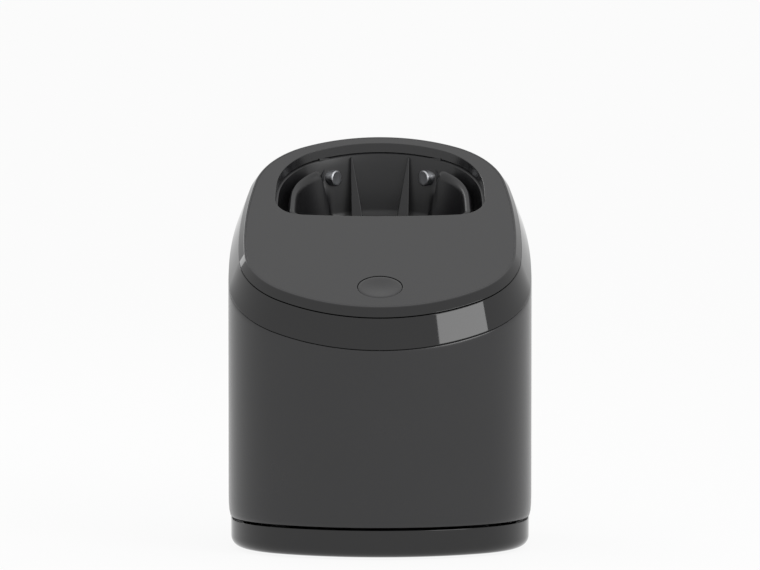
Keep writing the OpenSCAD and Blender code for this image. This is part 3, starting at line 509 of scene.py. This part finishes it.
def finish(piece, paint, body, replaced=(), angle=35):
    only(piece)
    bpy.ops.object.shade_smooth_by_angle(angle=math.radians(angle))
    finishModifier(piece, "WEIGHTED_NORMAL", mode="FACE_AREA", weight=80, keep_sharp=True)
    piece.data.materials.clear()
    piece.data.materials.append(paints[paint])
    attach(piece, body)
    if replaced:
        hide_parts(*replaced)
    print("made", piece.name, len(piece.data.polygons), "faces")
    return piece


def toMetres(x, y, z):
    return Matrix.Translation(Vector((x, y, z)) * mm)


# ---- Outer shell, with its bay, lift button hole and inlet hole at the back
shell = {"bottom": 12, "wall": 2.2, "bayHalf": 44, "bayTop": 54, "bayRound": 8,
         "buttonAt": 90, "button": (22.8, 12.8), "inletAt": 68.5, "inlet": (19.4, 11.4)}


def backCutter(low, high, radius):
    # a rounded bar that runs through the back wall
    cutter = block("cutter", (low[0], 20, low[1]), (high[0], 80, high[1]))
    roundEdges(cutter, lambda a, b, e: abs(a.y - b.y) > 10 and a.z > 4, radius, 10)
    return cutter


def makeShell(s):
    section = eased([(s["wall"], s["bottom"], 0, 0.2), (0, s["bottom"], 0, 1.0), (0, 0, 1, 0.35),
                     (s["wall"], 0, 1, 0.15)])
    piece = lofted("shell_moulding", [level("body", *p) for p in section])
    cutAway(piece, backCutter((-s["bayHalf"], 2), (s["bayHalf"], s["bayTop"]), s["bayRound"]))
    for at, (width, height), r in ((s["buttonAt"], s["button"], 2.4), (s["inletAt"], s["inlet"], 2.2)):
        cutAway(piece, backCutter((-width / 2, at - height / 2), (width / 2, at + height / 2), r))
    roundEdges(piece, lambda a, b, e: e.calc_face_angle(0) > 0.7 and min(a.y, b.y) > 20 and a.z < 100 and
               (abs(a.x) < 44.2 and a.z < 97), 0.35, 2)
    return finish(piece, "satinShell", "housing", ["outer_shell"])


makeShell(shell)


# ---- Gloss bands: collar ring, deck bezel and base ring
def makeCollar():
    section = eased([(0, 0.25, 1, 0.45), (3.7, 9.72, 1, 0.25), (5.9, 9.72, 1), (4.1, 1.85, 1), (4.1, -4, 1),
                     (2.5, -4, 1), (2.5, 0.25, 1)])
    piece = lofted("collar_band", [level("body", *p) for p in section])
    return finish(piece, "glossBlack", "housing", ["collar_ring"])


def makeBezel():
    topStart = 12.3
    section = eased([(3.8, 10.1, 1, 0.2), (5.75, 12.8, 1, 0.2), (6.45, 12.8, 1, 0.04), (6.55, 10.6, 1),
                     (7.55, 10.6, 1), (7.55, 8.4, 1), (6.2, 8.4, 1), (6.2, 10.1, 1)])
    piece = lofted("deck_trim", [level("body", *p) for p in section])
    finish(piece, "glossBlack", "housing", ["deck_bezel"])
    piece.data.materials.append(paints["satinDeck"])
    for face in piece.data.polygons:   # the flat top is satin like the deck
        spots = [piece.data.vertices[i].co / mm for i in face.vertices]
        face.material_index = int(all(spot.z > rim(spot.y) + topStart for spot in spots))
    return piece


baseRing = {"in": 0.8, "round": 4, "low": 0.8, "top": 11.1, "wall": 2.4, "floor": 3.0, "flange": 10.0}


def makeBaseRing(b):
    inner = b["in"] + b["wall"]
    curve = [(b["in"] + b["round"] * (1 - math.cos(a)), b["low"] + b["round"] * (1 - math.sin(a)), 0)
             for a in [math.pi / 2 * i / 10 for i in range(10, -1, -1)]]
    section = eased(curve + [(b["in"], b["top"], 0, 0.45), (inner, b["top"], 0), (inner, b["floor"], 0, 0.6),
                             (b["flange"], b["floor"], 0), (b["flange"], b["low"], 0)])
    piece = lofted("base_band", [level("body", *p) for p in section])
    cutter = block("cutter", (-44, 3.2, 4.2), (44, 90, 20))
    screwHoles = []
    for x in (-48, 48):
        for radius, low, high in ((1.5, 0, 4), (2.9, 0, 2.0)):
            screwHoles.append(placed(rod("cutter", radius, low, high, 32), toMetres(x, -6, 0)))
    cutAway(piece, cutter, *screwHoles)
    return finish(piece, "glossBlack", "base", ["base_ring"])


makeCollar()
makeBezel()
makeBaseRing(baseRing)

# ---- Deck panel with the well's mouth and the start button's oval
deck = {"edge": 6.48, "top": 12.8, "under": 10.61, "skirt": 3.3, "skirtWall": 1.4,
        "ovalHalf": (8.35, 7.75), "ovalFromFront": 18.6, "lip": 0.2}
startY = outlines["body"]["front"] + deck["ovalFromFront"]
onDeck = toMetres(0, startY, deckHeight(startY)) @ Matrix.Rotation(math.radians(26), 4, "X")


def oval(name, half, low, high, vertices=96):
    piece = rod(name, 1, low, high, vertices)
    return placed(piece, Matrix.Diagonal((half[0], half[1], 1, 1)))


def makeDeck(d):
    panel = [(d["edge"], d["under"], 1), (d["edge"], d["top"] - 0.06, 1), (d["edge"] + 0.06, d["top"], 1)]
    piece = lofted("deck_panel", [level("body", *p) for p in panel], ring=False)
    skirt = lofted("skirt", [level("mouth", -d["skirtWall"], h, 1, mouthSteps)
                             for h in (d["top"] - d["skirt"], d["under"] + 0.6)], ring=False)
    combine(piece, skirt, "UNION")
    guide = placed(oval("guide", (d["ovalHalf"][0] + 1.6, d["ovalHalf"][1] + 1.6), -4.2, -0.6, 64), onDeck)
    combine(piece, guide, "UNION")
    mouthCutter = lofted("cutter", [level("mouth", 0, h, 1, mouthSteps) for h in (-8, 20)], ring=False)
    ovalCutter = placed(oval("cutter", d["ovalHalf"], -12, 8), onDeck)
    cutAway(piece, mouthCutter, ovalCutter)

    def onTop(v):
        return abs(v.z - deckHeight(v.y)) < 0.02

    def mouthLip(a, b, e):
        return onTop(a) and onTop(b) and e.calc_face_angle(0) > 1.0 and \
            max(abs(a.x), abs(b.x)) < 39.5 and min(a.y, b.y) > 2

    def ovalLip(a, b, e):
        return onTop(a) and onTop(b) and e.calc_face_angle(0) > 1.0 and \
            max(abs(a.x), abs(b.x)) < 10.5 and max(a.y, b.y) < -30 and min(a.y, b.y) > -52

    roundEdges(piece, mouthLip, d["lip"], 3)
    roundEdges(piece, ovalLip, 0.1, 2)
    return finish(piece, "satinDeck", "housing", ["top_deck"], angle=15)


makeDeck(deck)

# ---- Start button: an oval cap with a dished face, on its stem
button = {"half": (8.05, 7.45), "low": -3, "top": -0.12, "edge": 0.35, "dish": 0.3, "stem": (2.4, -6.35)}


def makeStartButton(b):
    clearAll()
    bpy.ops.mesh.primitive_circle_add(vertices=96, radius=mm, fill_type="NGON", location=(0, 0, b["low"] * mm))
    piece = bpy.context.object
    piece.name = piece.data.name = "start_cap"
    bpy.ops.object.transform_apply(location=True, rotation=True, scale=True)
    placed(piece, Matrix.Diagonal((b["half"][0], b["half"][1], 1, 1)))
    bpy.ops.object.mode_set(mode="EDIT")
    bpy.ops.mesh.select_all(action="SELECT")
    bpy.ops.mesh.extrude_region_move(TRANSFORM_OT_translate={"value": (0, 0, (b["top"] - b["low"]) * mm)})
    bpy.ops.mesh.inset(thickness=b["edge"] * mm)
    steps = 9
    for i in range(steps):
        bpy.ops.mesh.inset(thickness=(b["half"][1] - b["edge"]) / (steps + 1) * mm)
    bpy.ops.mesh.poke()
    shape = bmesh.from_edit_mesh(piece.data)
    for vert in shape.verts:
        if vert.co.z > (b["top"] - 0.01) * mm:
            away = math.hypot(vert.co.x / mm / b["half"][0], vert.co.y / mm / b["half"][1])
            if away < 0.93:
                vert.co.z -= b["dish"] * mm * math.cos(away / 0.95 * math.pi / 2) ** 1.4
            elif away > 0.985:
                vert.co.z -= 0.1 * mm
    bmesh.update_edit_mesh(piece.data)
    bpy.ops.mesh.select_all(action="SELECT")
    bpy.ops.mesh.normals_make_consistent(inside=False)
    bpy.ops.object.mode_set(mode="OBJECT")
    stem = rod("stem", b["stem"][0], b["stem"][1], b["low"] + 0.2, 32)
    combine(piece, stem, "UNION")
    placed(piece, onDeck)
    return finish(piece, "satinDeck", "start_button", ["start_button"], angle=50)


makeStartButton(button)

# ---- Well: flange under the skirt, gutter and ridge at the sides, ledge at the back, bowl below
well = {
    # each loop as (inset, height over the rim) at the sides, at the front and at the back
    "top": [((-2.1, 7.15), (-2.1, 7.15), (-2.1, 7.15)), ((-2.1, 9.15), (-2.1, 9.15), (-2.1, 9.15)),
            ((0.4, 9.15), (0.4, 9.15), (0.4, 9.15)), ((0.8, 8.9), (0.8, 8.9), (0.8, 8.9)),
            ((1.0, 5), (1.1, 7.5), (1.1, 6)), ((1.4, 0.5), (1.3, 6), (1.2, 3)),
            ((2.4, -1.2), (1.5, 5), (1.3, 0)), ((3.8, -0.6), (1.7, 4), (1.4, -3)),
            ((4.5, 1.6), (1.9, 3), (1.5, -6)), ((4.7, 7.2), (2.1, 2), (1.6, -9)),
            ((5.0, 8.3), (2.3, 1), (1.7, -11)), ((5.6, 8.9), (2.5, 0), (1.8, -12.2)),
            ((6.6, 8.9), (2.7, -2), (2.4, -12.9)), ((7.4, 8.2), (3.0, -4), (4.5, -13.4)),
            ((7.8, 6.6), (3.4, -7), (7.0, -13.9)), ((8.2, -3), (4.0, -11), (8.6, -15.4)),
            ((8.8, -12), (4.6, -16), (9.4, -20))],
    # then (share of the way from mouth to floor, height over the rim's middle, tilt)
    "bowl": [(0.62, -30, 0.5), (0.66, -38, 0.3), (0.74, -46, 0.15), (0.84, -51.6, 0.06)],
    "floorZ": 72, "wellY": 26, "drainAt": (0, 23), "drainR": 5,
}


def smoothStep(low, high, value):
    t = min(max((value - low) / (high - low), 0), 1)
    return t * t * (3 - 2 * t)


def mixedOutline(f):
    a, b = outlines["mouth"], outlines["wellFloor"]
    return {key: a[key] * (1 - f) + b[key] * f for key in a}


def bowlLoop(f, height, tilt, inset=0, middle=None):
    base = (deckHeight(well["wellY"]) - 3.65 if middle is None else middle) + height
    return [(x, y, base + tilt * slope * (y - well["wellY"]))
            for x, y in outline(mixedOutline(f), inset, mouthSteps)]


def topLoop(side, front, back):
    rings = [outline(outlines["mouth"], p[0], mouthSteps) for p in (side, front, back)]
    spots = []
    for i, (x, y) in enumerate(outline(outlines["mouth"], 3, mouthSteps)):
        w = smoothStep(17, 25, abs(x))
        k = smoothStep(14, 34, y)
        shares = (w, (1 - w) * (1 - k), (1 - w) * k)
        px = sum(s * r[i][0] for s, r in zip(shares, rings))
        py = sum(s * r[i][1] for s, r in zip(shares, rings))
        h = sum(s * p[1] for s, p in zip(shares, (side, front, back)))
        spots.append((px, py, h + rim(py)))
    return spots


def drainLoop(w, z):
    x0, y0 = w["drainAt"]
    spots = []
    for x, y in outline(outlines["wellFloor"], 0, mouthSteps):
        away = math.hypot(x - x0, y - y0)
        spots.append((x0 + (x - x0) / away * w["drainR"], y0 + (y - y0) / away * w["drainR"], z))
    return spots


def makeWell(w):
    outer = [bowlLoop(1, 0, 0, -2, w["floorZ"] - 2), bowlLoop(0.88, 0, 0, -2, w["floorZ"] - 0.5)]
    outer += [bowlLoop(f, h, t, -2) for f, h, t in ((0.72, -50, 0.08), (0.52, -43, 0.22), (0.34, -33, 0.45),
                                                    (0.20, -22, 0.7), (0.10, -12, 0.9), (0.06, -5, 1))]
    inner = [topLoop(*p) for p in w["top"]]
    inner += [bowlLoop(*p) for p in w["bowl"]]
    inner += [bowlLoop(0.92, 0, 0, 0, w["floorZ"] + 1.8), bowlLoop(0.97, 0, 0, 0, w["floorZ"] + 0.4),
              bowlLoop(1, 0, 0, 0, w["floorZ"])]
    drain = [drainLoop(w, w["floorZ"]), drainLoop(w, w["floorZ"] - 2)]
    return lofted("well_cradle", outer + inner + drain)


contact = {"face": (18.19, 47.2, 131.4), "faceTurn": 25, "pinTurn": 49, "half": 4.9, "low": -10.6, "high": 7.4,
           "deep": 5.2, "recess": 1.6, "hole": 2.95, "tear": 3.4}


def atFace(c, turn):
    return toMetres(*c["face"]) @ Matrix.Rotation(math.radians(-turn), 4, "Z") @ Matrix.Rotation(math.pi / 2, 4, "X")


def makeContactBlock(c):
    piece = block("contact_block", (-c["half"], c["low"], -c["deep"]), (c["half"], c["high"], 0))
    softenEdges(piece, 0.35, 3)
    tear = rod("cutter", c["tear"], -c["recess"], 6, 64)
    only(tear)
    for vert in tear.data.vertices:
        x, y = vert.co.x / mm, vert.co.y / mm
        if y > c["tear"] * 0.5:   # drawn out upwards into a drop
            t = (y - c["tear"] * 0.5) / (c["tear"] * 0.5)
            vert.co.y = (c["tear"] * 0.5 + t * c["tear"] * 1.55) * mm
            vert.co.x = x * (1 - 0.25 * t) * mm
    placed(tear, toMetres(0.3, 0, 0))
    cutAway(piece, tear)
    placed(piece, atFace(c, c["faceTurn"]))
    sleeve = placed(rod("sleeve", c["hole"] + 1.4, -4.5, -0.9, 48), atFace(c, c["pinTurn"]))
    combine(piece, sleeve, "UNION")
    cutAway(piece, placed(rod("cutter", c["hole"], -20, 20, 64), atFace(c, c["pinTurn"])))
    return piece


ribShape = [(139, (10.3, 11.0), (47.2, 51)), (117, (6.4, 10.7), (42.6, 49)), (100, (4.6, 10.7), (38, 47))]


def makeRib(levels):
    loops = []
    for z, (x0, x1), (y0, y1) in levels:
        loops.append([(x0, y0, z), (x1, y0, z), (x1, y1, z), (x0, y1, z)])
    piece = lofted("channel_rib", loops, ring=False)
    softenEdges(piece, 0.3, 3, 30)
    return piece


def mirrored(piece):
    only(piece)
    bpy.ops.object.duplicate()
    other = bpy.context.object
    placed(other, Matrix.Diagonal((-1, 1, 1, 1)))
    only(other)
    bpy.ops.object.mode_set(mode="EDIT")
    bpy.ops.mesh.select_all(action="SELECT")
    bpy.ops.mesh.normals_make_consistent(inside=False)
    bpy.ops.object.mode_set(mode="OBJECT")
    return other


def joined(piece, *others):
    clearAll()
    for other in others:
        other.select_set(True)
    piece.select_set(True)
    bpy.context.view_layer.objects.active = piece
    bpy.ops.object.join()
    return piece


def makeCradle():
    piece = makeWell(well)
    extras = []
    for part in (makeContactBlock(contact), makeRib(ribShape)):
        extras += [part, mirrored(part)]
    for x in (-21, 21):
        for y in (14, 31):
            extras.append(placed(rod("leg", 3.4, 57, 70.5, 24), toMetres(x, y, 0)))
    joined(piece, *extras)
    return finish(piece, "cradlePlastic", "housing", ["cradle"], angle=42)


makeCradle()

# ---- Contact pins: turned metal, rounded at the rim, faintly dished
pin = {"radius": 2.9, "back": -4.5, "out": 2.9, "edge": 0.45, "dish": 0.12}


def makePin(p, side):
    clearAll()
    bpy.ops.mesh.primitive_cylinder_add(vertices=64, radius=p["radius"] * mm, depth=(p["out"] - p["back"]) * mm,
                                        location=(0, 0, (p["out"] + p["back"]) / 2 * mm))
    piece = bpy.context.object
    bpy.ops.object.transform_apply(location=True, rotation=True, scale=True)
    roundEdges(piece, lambda a, b, e: min(a.z, b.z) > p["out"] - 0.01, p["edge"], 4)
    only(piece)
    bpy.ops.object.mode_set(mode="EDIT")
    bpy.ops.mesh.select_mode(type="FACE")
    bpy.ops.mesh.select_all(action="DESELECT")
    shape = bmesh.from_edit_mesh(piece.data)
    for face in shape.faces:
        face.select_set(len(face.verts) > 20 and face.calc_center_median().z > 0)
    bmesh.update_edit_mesh(piece.data)
    for i in range(5):
        bpy.ops.mesh.inset(thickness=(p["radius"] - p["edge"]) / 6 * mm)
    shape = bmesh.from_edit_mesh(piece.data)
    for vert in shape.verts:
        away = math.hypot(vert.co.x, vert.co.y) / mm / (p["radius"] - p["edge"])
        if vert.co.z > (p["out"] - 0.001) * mm and away < 0.99:
            vert.co.z -= p["dish"] * mm * (1 - away ** 2)
    bmesh.update_edit_mesh(piece.data)
    bpy.ops.object.mode_set(mode="OBJECT")
    placed(piece, atFace(contact, contact["pinTurn"]))
    if side == "left":
        other = mirrored(piece)
        bpy.data.objects.remove(piece)
        piece = other
    piece.name = piece.data.name = "charging_pin_" + side
    return finish(piece, "contactMetal", "contact_pin_" + side, ["contact_pin_" + side])


for side in ("left", "right"):
    makePin(pin, side)

# ---- Springs: round wire, closed at both ends
springs = {
    "lift": {"radius": 3.5, "wire": 0.45, "turns": 9, "length": 41.8, "foot": (48, -6, 12.1)},
    "release": {"radius": 1.9, "wire": 0.25, "turns": 6, "length": 6.3, "foot": (15, 45.25, 74)},
    "perTurn": 24, "wireSides": 10,
}


def makeSpring(name, s, perTurn, sides):
    clearAll()
    bpy.ops.mesh.primitive_circle_add(vertices=sides, radius=s["wire"] * mm, rotation=(math.pi / 2, 0, 0),
                                      location=(s["radius"] * mm, 0, s["wire"] * mm))
    piece = bpy.context.object
    piece.name = piece.data.name = name
    bpy.ops.object.transform_apply(location=True, rotation=True, scale=True)
    closedRise = 2.1 * s["wire"]
    openRise = (s["length"] - 2 * s["wire"] - 2 * closedRise) / (s["turns"] - 2)
    finishModifier(piece, "SCREW", axis="Z", angle=2 * math.pi, screw_offset=openRise * mm, iterations=s["turns"],
                   steps=perTurn, render_steps=perTurn)
    for i, vert in enumerate(piece.data.vertices):
        turn = i // sides / perTurn
        rise = closedRise * min(turn, 1) + openRise * min(max(turn - 1, 0), s["turns"] - 2)
        rise += closedRise * max(turn - s["turns"] + 1, 0)
        vert.co.z += (rise - openRise * turn) * mm
    bpy.ops.object.mode_set(mode="EDIT")
    bpy.ops.mesh.select_mode(type="VERT")
    bpy.ops.mesh.select_all(action="SELECT")
    bpy.ops.mesh.remove_doubles(threshold=1e-7)
    bpy.ops.mesh.select_all(action="DESELECT")
    bpy.ops.mesh.select_non_manifold()
    bpy.ops.mesh.fill_holes(sides=0)
    bpy.ops.mesh.select_all(action="SELECT")
    bpy.ops.mesh.normals_make_consistent(inside=False)
    bpy.ops.object.mode_set(mode="OBJECT")
    return piece


def makeSprings(s):
    right = makeSpring("lift_spring_coil_right", s["lift"], s["perTurn"], s["wireSides"])
    placed(right, toMetres(*s["lift"]["foot"]))
    left = mirrored(right)
    for piece, side in ((left, "left"), (right, "right")):
        piece.name = piece.data.name = "lift_spring_coil_" + side
        only(piece)
        bpy.ops.object.shade_smooth_by_angle(angle=math.radians(50))
        piece.data.materials.append(paints["steel"])
        x, y, z = s["lift"]["foot"]
        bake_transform(piece)
        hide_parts("lift_spring_" + side)
        print("made", piece.name, len(piece.data.polygons), "faces")
    small = makeSpring("release_spring_coils", s["release"], s["perTurn"], s["wireSides"])
    placed(small, toMetres(*s["release"]["foot"]) @ Matrix.Rotation(-math.pi / 2, 4, "X"))
    joined(small, mirrored(small))
    finish(small, "steel", "housing", ["release_springs"], angle=50)
    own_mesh(small)


makeSprings(springs)

# ---- Finishes on the frame's own pieces
carried = {
    "darkPlastic": ["base_pan", "cartridge_bed", "chassis_plate", "release_slide", "power_inlet", "lift_button",
                    "drain_spout", "button_membrane", "board_parts"],
    "rubber": ["rubber_feet", "drain_seal", "suction_seal", "delivery_hose"],
    "steel": ["base_screws", "housing_screws", "guide_post_left", "guide_post_right", "lift_spring_left",
              "lift_spring_right", "latch_clips", "release_springs", "motor_shaft", "drain_grille", "pump_motor"],
    "brass": ["inlet_pins", "contact_springs"],
    "lightPlastic": ["bush_left", "bush_right", "pump_housing", "impeller", "tact_switch", "pickup_tube"],
    "boardGreen": ["main_board", "button_board"],
    "leadCover": ["inlet_leads", "contact_leads"],
    "cartridgeBlue": ["cartridge_tub"],
    "cartridgeLid": ["cartridge_top"],
    "fluid": ["cleaning_fluid"],
}
for paintName, names in carried.items():
    for name in names:
        thing = cad[name]
        thing.data.materials.clear()
        thing.data.materials.append(paints[paintName])
print("frame's own pieces painted")
